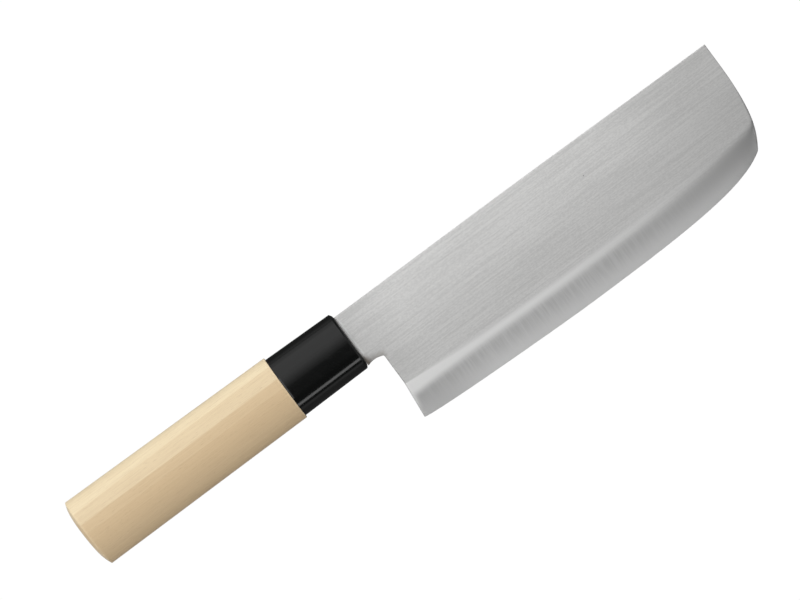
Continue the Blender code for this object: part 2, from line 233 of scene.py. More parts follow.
def blade_nets():
    """The nets of the ground bevel, the flat and the neck, each with the height of its front face."""
    low = spaced(ground_line, np.linspace(0, 1, ALONG))
    across = (low[:, 0] - low[0, 0]) / (low[-1, 0] - low[0, 0])
    ridge_x = part_way(RIDGE_REAR[0], RUN_OUT[0], across)
    ridge = np.column_stack((ridge_x, height_of(ridge_line, ridge_x)))
    notch = notch_line()
    flat, rear_of_flat = flat_net(ridge, across, notch[-1, 1])
    level = [(part, np.full(part.shape[:2], HALF_STEEL)) for part in (flat, neck_net(notch, rear_of_flat))]
    return [bevel_net(low, ridge, across)] + level


WELD = 0.002 * mm           # points closer than this are one point


def joined_nets(nets):
    """Welds nets edge to edge. Returns the flat points, the front heights, the faces and the outline."""
    shape = bmesh.new()
    height = shape.verts.layers.float.new("height")
    for points, heights in nets:
        rows, columns = heights.shape
        made = [[shape.verts.new((*points[j, i], 0)) for i in range(columns)] for j in range(rows)]
        for j in range(rows):
            for i in range(columns):
                made[j][i][height] = heights[j, i]
        for j in range(rows - 1):
            for i in range(columns - 1):
                shape.faces.new((made[j][i], made[j][i + 1], made[j + 1][i + 1], made[j + 1][i]))
    bmesh.ops.remove_doubles(shape, verts=shape.verts, dist=WELD)
    shape.verts.index_update()
    flat = np.array([vert.co.xy for vert in shape.verts])
    front = np.array([vert[height] for vert in shape.verts])
    faces = [[vert.index for vert in face.verts] for face in shape.faces]
    following = {}
    for edge in shape.edges:
        if edge.is_boundary:
            loop = edge.link_loops[0]
            following[loop.vert.index] = loop.link_loop_next.vert.index
    shape.free()
    outline = [next(iter(following))]
    while following[outline[-1]] != outline[0]:
        outline.append(following[outline[-1]])
    return flat, front, faces, np.array(outline)


RIM_ROUND = 0.22 * mm
HEEL_ROUND = 0.35 * mm
EDGE_ROUND = 0.03 * mm
ROUND_STEPS = 4
ROUND_SHARE = 0.45          # each side's rounding takes at most this share of the steel's thickness
SOFTENED = 9                # how many points of the outline share a change of rounding
ON_LINE = 0.05 * mm         # a point this close to a line counts as on it


def rim_rounding(rim):
    """How much each point of the outline is rounded: most at the heel, hardly at the edge or the ferrule."""
    on_edge = (distance_to(ground_line, rim) < ON_LINE) | (rim[:, 0] < NECK_X + ON_LINE)
    heel = (rim[:, 0] < HEEL_X + ON_LINE) & (rim[:, 1] < NOTCH_Y - NOTCH_ARCH / 2)
    wanted = np.where(on_edge, EDGE_ROUND, np.where(heel, HEEL_ROUND, RIM_ROUND))
    reach = SOFTENED // 2
    near = np.concatenate((wanted[-reach:], wanted, wanted[:reach]))
    smooth = np.convolve(near, np.ones(SOFTENED) / SOFTENED, "valid")
    return np.where(on_edge, np.minimum(wanted, smooth), smooth)


neck_underside = notch_line()[:NOTCH_STEPS]


def outward_of(rim):
    """The way out from each point of the outline, long enough to move both sides that meet there by 1."""
    before, after = np.roll(rim, 1, axis=0), np.roll(rim, -1, axis=0)
    turns = [d / np.linalg.norm(d, axis=1)[:, None] for d in (rim - before, after - rim)]
    normals = [np.column_stack((d[:, 1], -d[:, 0])) for d in turns]
    return (normals[0] + normals[1]) / (1 + np.sum(normals[0] * normals[1], axis=1))[:, None]


def skinned_blade():
    """Front and back skins on the same flat points, with a rounded rim round the outline."""
    flat, front, faces, outline = joined_nets(blade_nets())
    near_neck = np.clip(1 - distance_to(neck_underside, flat) / NECK_EASE_REACH, 0, 1) ** 2
    front = front - NECK_EASE * near_neck * eased((HEEL_X - flat[:, 0]) / NECK_EASE_REACH)
    back = -HALF_STEEL + hollow_lift(flat)
    rim = flat[outline]
    outward = outward_of(rim)
    radius = np.minimum(rim_rounding(rim), (front[outline] - back[outline]) * ROUND_SHARE)
    flat[outline] = rim - outward * radius[:, None]

    count = len(flat)
    points = [np.column_stack((flat, front)), np.column_stack((flat, back))]
    rings = {"front": [outline], "back": [outline + count]}
    for step in range(1, ROUND_STEPS + 1):
        turn = math.pi / 2 * step / ROUND_STEPS
        place = flat[outline] + outward * (radius * math.sin(turn))[:, None]
        drop = radius * (1 - math.cos(turn))
        for side, height in (("front", front[outline] - drop), ("back", back[outline] + drop)):
            rings[side].append(sum(map(len, points)) + np.arange(len(outline)))
            points.append(np.column_stack((place, height)))
    loops = rings["front"] + rings["back"][::-1]
    skin = list(faces) + [[corner + count for corner in reversed(face)] for face in faces]
    for upper, lower in zip(loops, loops[1:]):
        skin += np.column_stack((upper, lower, np.roll(lower, -1), np.roll(upper, -1))).tolist()
    return np.vstack(points), skin


def placed(name, data):
    """Puts a mesh, a light or a camera into the scene."""
    made = bpy.data.objects.new(name, data)
    bpy.context.scene.collection.objects.link(made)
    return made


def made_object(name, points, faces):
    """An object whose points are given from the knife's own origin."""
    mesh = bpy.data.meshes.new(name)
    mesh.from_pydata((np.asarray(points) + np.array(origin)).tolist(), [], faces)
    return placed(name, mesh)


TANG_LENGTH = 78.0 * mm
TANG_FRONT_HEIGHT = 13.0 * mm
TANG_REAR_HEIGHT = 8.0 * mm
TANG_THICKNESS = 2.0 * mm
TANG_ROOT = 2.0 * mm        # how far a tang's solid starts inside the neck, and a slot runs past a face


def tapered_bar(name, front_x, rear_x, grow):
    """A bar with the tang's own taper, grown by the same amount above, below and on each face."""
    taper = (TANG_FRONT_HEIGHT - TANG_REAR_HEIGHT) / TANG_LENGTH
    half_z = TANG_THICKNESS / 2 + grow
    points = []
    for x in (front_x, rear_x):
        half_y = (TANG_FRONT_HEIGHT + taper * x) / 2 + grow
        points += [(x, y, z) for y, z in (
            (-half_y, -half_z), (half_y, -half_z), (half_y, half_z), (-half_y, half_z))]
    sides = [(i, (i + 1) % 4, (i + 1) % 4 + 4, i + 4) for i in range(4)]
    return made_object(name, points, sides + [(3, 2, 1, 0), (4, 5, 6, 7)])


def baked(piece):
    """Leaves what a piece's modifiers make as its own plain mesh."""
    graph = bpy.context.evaluated_depsgraph_get()
    mesh = bpy.data.meshes.new_from_object(piece.evaluated_get(graph))
    piece.modifiers.clear()
    piece.data = mesh


SHARP = math.radians(35)    # a crease that turns by more than this stays crisp


def combined(piece, tool, operation):
    """Joins a tool's solid to a piece or cuts it away, then shades the piece smooth between its creases."""
    change = piece.modifiers.new("combine", "BOOLEAN")
    change.operation = operation
    change.object = tool
    change.solver = "EXACT"
    baked(piece)
    bpy.data.objects.remove(tool)
    piece.data.shade_smooth()
    piece.data.set_sharp_from_angle(angle=SHARP)


def write_values(piece, name, values):
    """Stores one number for each point, for the piece's material to read."""
    layer = piece.data.attributes.new(name, "FLOAT", "POINT")
    layer.data.foreach_set("value", np.asarray(values, np.float32))


def points_of(piece):
    """The piece's points, measured from the knife's own origin."""
    flat = np.empty(len(piece.data.vertices) * 3, np.float32)
    piece.data.vertices.foreach_get("co", flat)
    return flat.reshape(-1, 3).astype(float) - np.array(origin)


blade = made_object("ground_blade", *skinned_blade())
combined(blade, tapered_bar("tang", NECK_X + TANG_ROOT, -TANG_LENGTH, 0), "UNION")
blade_points = points_of(blade)
blade_plan = blade_points[:, :2]
blade_outline = np.vstack((
    edge_line, front_line[1:], spine_line[::-1], (NECK_X, SPINE_Y), notch_line(), HEEL_CORNER))
heel_line = np.vstack(((HEEL_X, NOTCH_Y - NOTCH_ARCH - NOTCH_FILLET), RIDGE_REAR, HEEL_CORNER))
for title, line in (("rim", blade_outline), ("from_edge", edge_line), ("from_notch", neck_underside),
                    ("from_heel", heel_line)):
    write_values(blade, title, distance_to(line, blade_plan))
write_values(blade, "below_ridge", height_of(ridge_line, blade_plan[:, 0]) - blade_plan[:, 1])
write_values(blade, "above_foot", blade_plan[:, 1] - height_of(shoulder_line, blade_plan[:, 0]))
length_map = blade.data.uv_layers.new(name="length")
corner_points = np.array([loop.vertex_index for loop in blade.data.loops])
length_map.data.foreach_set("uv", blade_plan[corner_points].astype(np.float32).ravel())


def add_node(tree, kind, inputs=None, **settings):
    """Adds a node. Each input is a plain value or another node's output."""
    made = tree.nodes.new(kind)
    for name, value in settings.items():
        setattr(made, name, value)
    for name, value in (inputs or {}).items():
        if isinstance(value, bpy.types.NodeSocket):
            tree.links.new(value, made.inputs[name])
        else:
            made.inputs[name].default_value = value
    return made


def sums(tree, operation, *values):
    """One step of arithmetic on numbers."""
    return add_node(tree, "ShaderNodeMath", dict(enumerate(values)), operation=operation).outputs[0]


def product(tree, first, *others):
    """All the masks multiplied together."""
    for other in others:
        first = sums(tree, "MULTIPLY", first, other)
    return first


def rest_of(tree, mask):
    """What a mask leaves out."""
    return sums(tree, "SUBTRACT", 1.0, mask)


def weighted(tree, weights, *masks):
    """The first weight, plus each mask times its own weight."""
    total = weights[0]
    for weight, mask in zip(weights[1:], masks):
        total = sums(tree, "MULTIPLY_ADD", mask, weight, total)
    return total


def between(tree, value, low, high):
    """Rises smoothly from 0 to 1 as the value goes from low to high."""
    inputs = {"Value": value, "From Min": low, "From Max": high}
    return add_node(tree, "ShaderNodeMapRange", inputs, interpolation_type="SMOOTHSTEP").outputs[0]


MIX_SHARE, MIX_PLAIN, MIX_OTHER, MIX_COLOUR = 0, 6, 7, 2     # a Mix node's sockets for colours


def tinted(tree, mask, plain, other, share=1.0):
    """Goes from the plain colour to the other one where the mask is 1, as far as the share says."""
    if share < 1:
        mask = sums(tree, "MULTIPLY", mask, share)
    plain, other = ((*colour, 1) if isinstance(colour, tuple) else colour for colour in (plain, other))
    inputs = {MIX_SHARE: mask, MIX_PLAIN: plain, MIX_OTHER: other}
    return add_node(tree, "ShaderNodeMix", inputs, data_type="RGBA").outputs[MIX_COLOUR]


def layered(tree, colour, *layers):
    """Lays tints over a colour, one after another. Each is a mask, its colour and its share."""
    for mask, other, share in layers:
        colour = tinted(tree, mask, colour, other, share)
    return colour


def object_place(tree):
    return add_node(tree, "ShaderNodeTexCoord").outputs["Object"]


def knife_place(tree):
    """X, Y and Z, measured from the knife's own origin."""
    inputs = {0: object_place(tree), 1: tuple(origin)}
    place = add_node(tree, "ShaderNodeVectorMath", inputs, operation="SUBTRACT").outputs[0]
    return add_node(tree, "ShaderNodeSeparateXYZ", {0: place}).outputs


def clouds(tree, size, detail, distortion=0.0):
    """Cloudy noise with patches of the given size."""
    return add_node(tree, "ShaderNodeTexNoise", {
        "Vector": object_place(tree), "Scale": sums(tree, "DIVIDE", 1.0, size), "Detail": detail,
        "Distortion": distortion}).outputs["Fac"]


def read_values(tree, name):
    return add_node(tree, "ShaderNodeAttribute", attribute_name=name).outputs["Fac"]


def shader_group(name, inputs, output):
    """An empty group with named inputs and one number out."""
    group = bpy.data.node_groups.new(name, "ShaderNodeTree")
    for title, value in inputs.items():
        kind = "NodeSocketVector" if isinstance(value, tuple) else "NodeSocketFloat"
        group.interface.new_socket(title, in_out="INPUT", socket_type=kind).default_value = value
    group.interface.new_socket(output, in_out="OUTPUT", socket_type="NodeSocketFloat")
    return group, group.nodes.new("NodeGroupInput").outputs, group.nodes.new("NodeGroupOutput").inputs


def place_group(tree, group, **values):
    """Puts a group into a material with its own values. Returns its one output."""
    made = tree.nodes.new("ShaderNodeGroup")
    made.node_tree = group
    for title, value in values.items():
        made.inputs[title.replace("_", " ").capitalize()].default_value = value
    return made.outputs[0]


def streaks_group():
    """Fine marks drawn out one way, such as brushing or fibres. Streak size is one mark's size in metres."""
    group, given, result = shader_group("streaks", {"Streak size": (mm, mm, mm), "Breaks": 2.0}, "Streak")
    cell = add_node(group, "ShaderNodeVectorMath", {0: object_place(group), 1: given["Streak size"]},
                    operation="DIVIDE")
    noise = add_node(group, "ShaderNodeTexNoise",
                     {"Vector": cell.outputs[0], "Scale": 1.0, "Detail": given["Breaks"], "Roughness": 0.6})
    group.links.new(noise.outputs["Fac"], result["Streak"])
    return group


def wear_group():
    """Rubbing along a piece's rims, uneven along them. Reach is how far it comes in from a rim."""
    group, given, result = shader_group(
        "rim_wear", {"Reach": 0.5 * mm, "Unevenness": 1.0, "Patch": 3 * mm}, "Wear")
    swing = sums(group, "SUBTRACT", clouds(group, given["Patch"], detail=3.0), 0.5)
    swing = sums(group, "MULTIPLY_ADD", swing, given["Unevenness"], 1.0)
    kept = between(group, read_values(group, "rim"), 0.0, product(group, given["Reach"], swing))
    group.links.new(rest_of(group, kept), result["Wear"])
    return group


SMUDGE_STARTS = (0.75, -0.5)    # the noise at which a smudge starts, and how the coverage lowers it
SMUDGE_BLUR = 0.2


def handling_group():
    """Faint smudges where the knife was wiped and held. Patch is the size of one smudge."""
    group, given, result = shader_group("handling", {"Patch": 12 * mm, "Coverage": 0.5}, "Smudge")
    cloud = clouds(group, given["Patch"], detail=4.0, distortion=0.6)
    start = weighted(group, SMUDGE_STARTS, given["Coverage"])
    group.links.new(between(group, cloud, start, sums(group, "ADD", start, SMUDGE_BLUR)), result["Smudge"])
    return group


streaks, rim_wear, handling = streaks_group(), wear_group(), handling_group()


def new_material(name):
    material = bpy.data.materials.new(name)
    material.use_nodes = True
    return material, material.node_tree, material.node_tree.nodes["Principled BSDF"].inputs


def finish_with(tree, shader, colour, roughness, heights, depth, strength):
    """Gives a material its colour, its roughness and fine marks. The depth is that of a full mark."""
    bump = add_node(tree, "ShaderNodeBump", {"Height": heights, "Distance": depth, "Strength": strength})
    for title, value in (("Base Color", colour), ("Roughness", roughness), ("Normal", bump.outputs[0])):
        tree.links.new(value, shader[title])


FLAT_STEEL = (0.822, 0.820, 0.811)
DARK_BRUSHING = (0.683, 0.681, 0.673)
DULL_AND_SHADED_STEEL = (0.60, 0.599, 0.592)       # the same two tones where the brushing is duller, also used for painted shade on the flat
DULL_AND_SHADED_BRUSHING = (0.515, 0.514, 0.509)
BRUSH_MARKS = (                         # how long, high and deep a mark is, how it breaks, and its weight
    ((0.9 * mm, 0.45 * mm, 1 * mm), 2.0, 0.36), ((34 * mm, 0.75 * mm, 4 * mm), 3.0, 0.42),
    ((9 * mm, 0.14 * mm, 2 * mm), 2.0, 0.22))
BRUSH_CONTRAST = (0.39, 0.61)           # a contrast is where the noise starts to show, and shows in full
BAND_CONTRAST = (0.35, 0.65)
BAND_SHARE = 0.12
PAINTED_SHADE_SPANS = (                              # painted shade: the flat is darker towards the ridge, the ferrule and the tip
    ("Y", 4 * mm, -20 * mm, 0.56), ("X", 26 * mm, 1 * mm, 0.48), ("X", 112 * mm, 160 * mm, 0.55))
# painted shade on the flat near the heel's rear edge: full within the second distance, gone past the first
HEEL_PAINTED_SHADE = (15 * mm, 1.5 * mm)
HEEL_PAINTED_SHADE_SHARE = 0.26
NECK_LIT_STEEL = (0.99, 0.99, 0.985)        # painted light: the steel is brighter in the last two millimetres by the ferrule
NECK_PAINTED_LIGHT = (1.9 * mm, 0.5 * mm)
NECK_PAINTED_LIGHT_TOP = (11 * mm, 6 * mm)
RIDGE_BLUR = (0.6 * mm, 1.6 * mm)       # how wide the change of finish is, and how much wider at the nose
RIDGE_BLUR_GROWS = (8 * mm, 42 * mm)
RIDGE_BLUR_SPAN = (-0.35, 0.9)
FOOT_BLUR = (-2.4 * mm, 1.8 * mm)
SHOULDER_STEEL = (0.88, 0.88, 0.874)
SHOULDER_FADE = (185 * mm, 55 * mm)     # its pale polish is gone at the first place, and full at the second
GROUND_STEEL = (0.587, 0.587, 0.584)    # darkest, at the foot of the shoulder
GROUND_STEEL_EDGE = (0.785, 0.785, 0.782)
EDGE_PALENESS = (0.5 * mm, 9 * mm)
STRIPE_CONTRAST = (0.35, 0.7)
STRIPE_FADE = (165 * mm, 70 * mm)       # the grinding stripes show less and less towards the nose
STRIPE_SHARE = 0.38
# painted shade: the ground face darkens towards the nose
NOSE_SHADED_STEEL = (0.52, 0.52, 0.517)
NOSE_FADE = (112 * mm, 168 * mm)
NOSE_DEPTH = (-8.5 * mm, -2.5 * mm)
NOSE_SHARE = 0.6
GROUND_STEEL_HEEL = (0.44, 0.44, 0.438)
GROUND_HEEL = (44 * mm, 6 * mm)
GROUND_HEEL_SHARE = 0.5
HEEL_PAINTED_HIGHLIGHT = 2.4 * mm                    # how far the painted highlight reaches in from the heel's rear edge
HEEL_HIGHLIGHT_FADE = (-38 * mm, -31 * mm)        # it dies out towards the heel's corner
PIT = (105.6 * mm, -2.3 * mm)           # one small pit in the flat
PIT_RADIUS = 0.30 * mm
PIT_DARK = (0.12, 0.11, 0.10)
PIT_SHARE = 0.8
# brown for the joint's dirt, the dark corner spot and the painted shade along the neck's underside
DIRT_AND_SHADE_BROWN = (0.14, 0.115, 0.09)
NOTCH_SHADE = (3.0 * mm, 0.2 * mm)      # how far the painted shade along the neck's underside reaches in
NOTCH_SHARE = 0.42
CORNER_DARK_SPOT = (0.0 * mm, -10.4 * mm)     # a brown darkening in the lower corner of neck and ferrule
CORNER_SPOT_REACH = (2.5 * mm, 5.0 * mm)
CORNER_SPOT_SHARE = 0.9
SPOT_BLUR = (1.0, 0.25)                 # a spot shows in full in the inner quarter of its reach
JOINT_LINE = (0.30 * mm, 0.12 * mm)     # a dark line of dirt where the neck meets the ferrule
JOINT_SHARE = 0.7
WORN_SHARE = 0.15
NOSE_RIM = (0.75 * mm, 0.25 * mm)       # a thin dull line along the front edge, below the tip
NOSE_RIM_ALONG = (158 * mm, 165 * mm)
NOSE_RIM_TOP = (-8 * mm, -19 * mm)
NOSE_RIM_FOOT = (-33 * mm, -30 * mm)
NOSE_RIM_DARK = (0.12, 0.12, 0.118)
NOSE_RIM_SHARE = 0.45
STEEL_ROUGHNESS = (0.33, 0.14, 0.02, 0.05, -0.06)    # plain, then by brushing, smudge, shoulder and wear


def near_spot(tree, place, middle, reach):
    """Fades from 1 round a spot on the flat to 0 at its reach along and across."""
    x, y = (sums(tree, "DIVIDE", sums(tree, "SUBTRACT", place[axis], at), size)
            for axis, at, size in zip("XY", middle, reach))
    away = sums(tree, "SQRT", sums(tree, "MULTIPLY_ADD", x, x, sums(tree, "MULTIPLY", y, y)))
    return between(tree, away, *SPOT_BLUR)


def bevel_zones(tree, place):
    """Masks of the pale shoulder under the ridge and of the ground face below it."""
    blur = weighted(tree, RIDGE_BLUR, between(tree, place["X"], *RIDGE_BLUR_GROWS))
    below = between(tree, sums(tree, "DIVIDE", read_values(tree, "below_ridge"), blur), *RIDGE_BLUR_SPAN)
    above_foot = between(tree, read_values(tree, "above_foot"), *FOOT_BLUR)
    shoulder = product(tree, below, above_foot, between(tree, place["X"], *SHOULDER_FADE))
    return shoulder, product(tree, below, rest_of(tree, above_foot))


def flat_colour(tree, place, brushing):
    """Brushed along, with random duller bands. Painted shade darkens it towards the ridge, the heel and both
    ends, and painted light brightens it right by the ferrule.
    """
    brushed = between(tree, brushing, *BRUSH_CONTRAST)
    flat = tinted(tree, brushed, DARK_BRUSHING, FLAT_STEEL)
    dull_and_shaded = tinted(tree, brushed, DULL_AND_SHADED_BRUSHING, DULL_AND_SHADED_STEEL)
    bands = place_group(tree, streaks, streak_size=(130 * mm, 3.2 * mm, 6 * mm), breaks=1.0)
    # painted shade towards the ridge, the ferrule and the tip
    painted_shade = [(between(tree, place[axis], low, high), dull_and_shaded, share) for axis, low, high, share in PAINTED_SHADE_SPANS]
    # painted shade near the heel's rear edge
    heel_shade = between(tree, read_values(tree, "from_heel"), *HEEL_PAINTED_SHADE)
    # painted light on the neck right by the ferrule, below its top
    painted_light = product(tree, between(tree, place["X"], *NECK_PAINTED_LIGHT), between(tree, place["Y"], *NECK_PAINTED_LIGHT_TOP))
    return layered(tree, flat, (between(tree, bands, *BAND_CONTRAST), dull_and_shaded, BAND_SHARE), *painted_shade,
                   (heel_shade, dull_and_shaded, HEEL_PAINTED_SHADE_SHARE), (painted_light, NECK_LIT_STEEL, 1.0))


def bevel_colour(tree, place, across):
    """Ground across: palest at the edge and darker at the heel, with painted shade towards the nose and a
    painted highlight along the heel's rear edge.
    """
    from_edge, from_heel, to_foot = (
        read_values(tree, title) for title in ("from_edge", "from_heel", "above_foot"))
    bevel = tinted(tree, between(tree, from_edge, *EDGE_PALENESS), GROUND_STEEL_EDGE, GROUND_STEEL)
    stripes = product(tree, between(tree, across, *STRIPE_CONTRAST), between(tree, place["X"], *STRIPE_FADE))
    # painted shade towards the nose
    nose_shade = product(tree, between(tree, place["X"], *NOSE_FADE), between(tree, to_foot, *NOSE_DEPTH))
    heel = between(tree, place["X"], *GROUND_HEEL)
    # a painted highlight along the heel's rear edge
    heel_highlight = product(tree, between(tree, from_heel, HEEL_PAINTED_HIGHLIGHT, 0.0), between(tree, place["Y"], *HEEL_HIGHLIGHT_FADE))
    return layered(tree, bevel, (stripes, GROUND_STEEL_EDGE, STRIPE_SHARE), (nose_shade, NOSE_SHADED_STEEL, NOSE_SHARE),
                   (heel, GROUND_STEEL_HEEL, GROUND_HEEL_SHARE), (heel_highlight, SHOULDER_STEEL, 1.0))


def small_marks(tree, place, pit, worn):
    """Tints for the pit, the painted shade along the neck's underside, a dark corner spot, dirt and wear on
    flat and bevel, from the lowest to the topmost.
    """
    # painted shade along the neck's underside
    shade = between(tree, read_values(tree, "from_notch"), *NOTCH_SHADE)
    corner_spot = near_spot(tree, place, CORNER_DARK_SPOT, CORNER_SPOT_REACH)
    joint_line = between(tree, place["X"], *JOINT_LINE)
    nose_rim = product(
        tree, between(tree, read_values(tree, "rim"), *NOSE_RIM), between(tree, place["X"], *NOSE_RIM_ALONG),
        between(tree, place["Y"], *NOSE_RIM_TOP), between(tree, place["Y"], *NOSE_RIM_FOOT))
    return ((pit, PIT_DARK, PIT_SHARE), (shade, DIRT_AND_SHADE_BROWN, NOTCH_SHARE), (corner_spot, DIRT_AND_SHADE_BROWN, CORNER_SPOT_SHARE),
            (joint_line, DIRT_AND_SHADE_BROWN, JOINT_SHARE), (worn, SHOULDER_STEEL, WORN_SHARE),
            (nose_rim, NOSE_RIM_DARK, NOSE_RIM_SHARE))


def steel():
    """Stainless steel: brushed along the flat, hazed under the ridge, ground across near the edge."""
    material, tree, shader = new_material("brushed_steel")
    place = knife_place(tree)
    brushing = 0.0
    for size, breaks, weight in BRUSH_MARKS:
        marks = place_group(tree, streaks, streak_size=size, breaks=breaks)
        brushing = sums(tree, "MULTIPLY_ADD", marks, weight, brushing)
    across = place_group(tree, streaks, streak_size=(0.9 * mm, 16 * mm, 3 * mm), breaks=2.0)
    worn = place_group(tree, rim_wear, reach=0.35 * mm, unevenness=0.8, patch=4 * mm)
    smudge = place_group(tree, handling, patch=18 * mm, coverage=0.45)
    pit = near_spot(tree, place, PIT, (PIT_RADIUS, PIT_RADIUS))
    shoulder, ground = bevel_zones(tree, place)
    colour = layered(
        tree, flat_colour(tree, place, brushing), (shoulder, SHOULDER_STEEL, 1.0),
        (ground, bevel_colour(tree, place, across), 1.0), *small_marks(tree, place, pit, worn))

    shader["Metallic"].default_value = 1.0
    shader["Anisotropic"].default_value = 0.35
    shader["Anisotropic Rotation"].default_value = 0.25
    roughness = weighted(tree, STEEL_ROUGHNESS, brushing, smudge, shoulder, worn)
    relief = sums(tree, "ADD", product(tree, brushing, rest_of(tree, ground)), product(tree, across, ground))
    finish_with(tree, shader, colour, roughness, sums(tree, "SUBTRACT", relief, pit),
                depth=0.01 * mm, strength=0.25)
    tangent = add_node(tree, "ShaderNodeTangent", direction_type="UV_MAP", uv_map="length")
    tree.links.new(tangent.outputs[0], shader["Tangent"])
    return material


blade.data.materials.append(steel())
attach(blade, "root")
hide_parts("blade")

# Handle
# One block of pale, fine-grained wood, turned oval and sanded but not coated. A tenon at its front
# fills the ferrule, a long hole takes the tang, and the butt is a shallow dome with a crisp rim.
handle_low, handle_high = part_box("handle")
BUTT_X = handle_low.x - origin.x
TENON_X = handle_high.x - origin.x
WOOD_REAR = (handle_high.y - handle_low.y) / 2 - INSET
FLATNESS = (handle_high.z - handle_low.z) / (handle_high.y - handle_low.y)
WOOD_FRONT = 13.5 * mm
SHOULDER_X = -29.55 * mm
SHOULDER_BREAK = 0.2 * mm
TENON_RADIUS = 9.85 * mm
TENON_BREAK = 0.8 * mm
BUTT_BULGE = 1.75 * mm
BUTT_POWER = 4              # flat in the middle, falling away near the rim
BUTT_SLANT = -0.028         # the butt is not sawn quite square
BUTT_ROOM = 0.37 * mm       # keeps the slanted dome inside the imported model
BUTT_RIM_BREAK = 0.15 * mm
SLANT_LENGTH = 8 * mm
OVAL_STEPS = 192
DOME_STEPS = 44
GRIP_STEPS = 60
RIM_STEPS = 900
JOINT_GAP = 0.3 * mm
BEDDING_WALL = 0.9 * mm
bedding_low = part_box("tang_bedding")[0]


def turned_point(tree, given, count):
    """Where a point of a flat grid goes: to its own profile point, turned round the oval and slanted."""
    place = add_node(tree, "GeometryNodeInputPosition").outputs[0]
    cell = add_node(tree, "ShaderNodeSeparateXYZ", {0: place}).outputs
    last = sums(tree, "SUBTRACT", count, 1.0)
    index = sums(tree, "ROUND", sums(tree, "MULTIPLY", sums(tree, "ADD", cell["X"], 0.5), last))
    angle = sums(tree, "MULTIPLY", sums(tree, "ADD", cell["Y"], 0.5), math.tau)
    wanted = {"Geometry": given["Profile"], "Value": place, "Index": index}
    sample = add_node(tree, "GeometryNodeSampleIndex", wanted, data_type="FLOAT_VECTOR")
    profile = add_node(tree, "ShaderNodeSeparateXYZ", {0: sample.outputs["Value"]}).outputs
    y = sums(tree, "MULTIPLY", profile["Y"], sums(tree, "COSINE", angle))
    z = product(tree, profile["Y"], sums(tree, "SINE", angle), given["Flatness"])
    reach = add_node(tree, "ShaderNodeMapRange", {
        "Value": profile["X"], "From Min": given["Slant start"], "From Max": given["Slant end"]})
    x = sums(tree, "ADD", profile["X"], product(tree, reach.outputs[0], given["Slant"], y))
    return add_node(tree, "ShaderNodeCombineXYZ", {0: x, 1: y, 2: z}).outputs[0]


def turned_oval_tree():
    """A tree that turns a profile of (place along, radius) into an oval solid, with one end aslant."""
    tree = bpy.data.node_groups.new("turned_oval", "GeometryNodeTree")
    sockets = {
        "Profile": "NodeSocketGeometry", "Steps round": "NodeSocketInt", "Flatness": "NodeSocketFloat",
        "Slant": "NodeSocketFloat", "Slant start": "NodeSocketFloat", "Slant end": "NodeSocketFloat",
        "Finish": "NodeSocketMaterial"}
    for title, kind in sockets.items():
        tree.interface.new_socket(title, in_out="INPUT", socket_type=kind)
    tree.interface.new_socket("Solid", in_out="OUTPUT", socket_type="NodeSocketGeometry")
    given = tree.nodes.new("NodeGroupInput").outputs
    profile_size = add_node(tree, "GeometryNodeAttributeDomainSize", {"Geometry": given["Profile"]})
    count = profile_size.outputs["Point Count"]
    solid = add_node(tree, "GeometryNodeMeshGrid", {
        "Size X": 1.0, "Size Y": 1.0, "Vertices X": count,
        "Vertices Y": sums(tree, "ADD", given["Steps round"], 1.0)}).outputs["Mesh"]
    for kind, inputs in (
            ("GeometryNodeSetPosition", {"Position": turned_point(tree, given, count)}),
            ("GeometryNodeMergeByDistance", {"Distance": WELD}),
            ("GeometryNodeRealizeInstances", {}),
            ("GeometryNodeSetMaterial", {"Material": given["Finish"]})):
        solid = add_node(tree, kind, {"Geometry": solid, **inputs}).outputs[0]
    tree.links.new(solid, tree.nodes.new("NodeGroupOutput").inputs["Solid"])
    return tree


turned_oval = turned_oval_tree()


def turned(name, profile, finish, slant=(0.0, 0.0, 1.0)):
    """A turned oval piece as a plain closed mesh, in its place on the knife."""
    points = bpy.data.meshes.new(name)
    points.from_pydata([(x, radius, 0) for x, radius in profile], [], [])
    blank = placed(name, points)
    turning = blank.modifiers.new("turning", "NODES")
    turning.node_group = turned_oval
    values = {"Steps round": OVAL_STEPS, "Flatness": FLATNESS, "Slant": slant[0],
              "Slant start": slant[1], "Slant end": slant[2], "Finish": finish}
    for item in turned_oval.interface.items_tree:
        if item.name in values:
            turning[item.identifier] = values[item.name]
    baked(blank)
    shape = bmesh.new()
    shape.from_mesh(blank.data)
    bmesh.ops.recalc_face_normals(shape, faces=shape.faces)
    bmesh.ops.translate(shape, verts=shape.verts, vec=origin)
    shape.to_mesh(blank.data)
    shape.free()
    return blank


def rounding(centre, along, inward, start, end, count=8, flatness=1.0):
    """Points on a quarter of an oval, angles in degrees, for a rounded corner of a profile.

    A flatness of 1 gives the oval, and 2 a straight chamfer.
    """
    turn = np.radians(np.linspace(start, end, count))
    return [(centre[0] + along * max(math.cos(a), 0) ** flatness,
             centre[1] + inward * max(math.sin(a), 0) ** flatness) for a in turn]


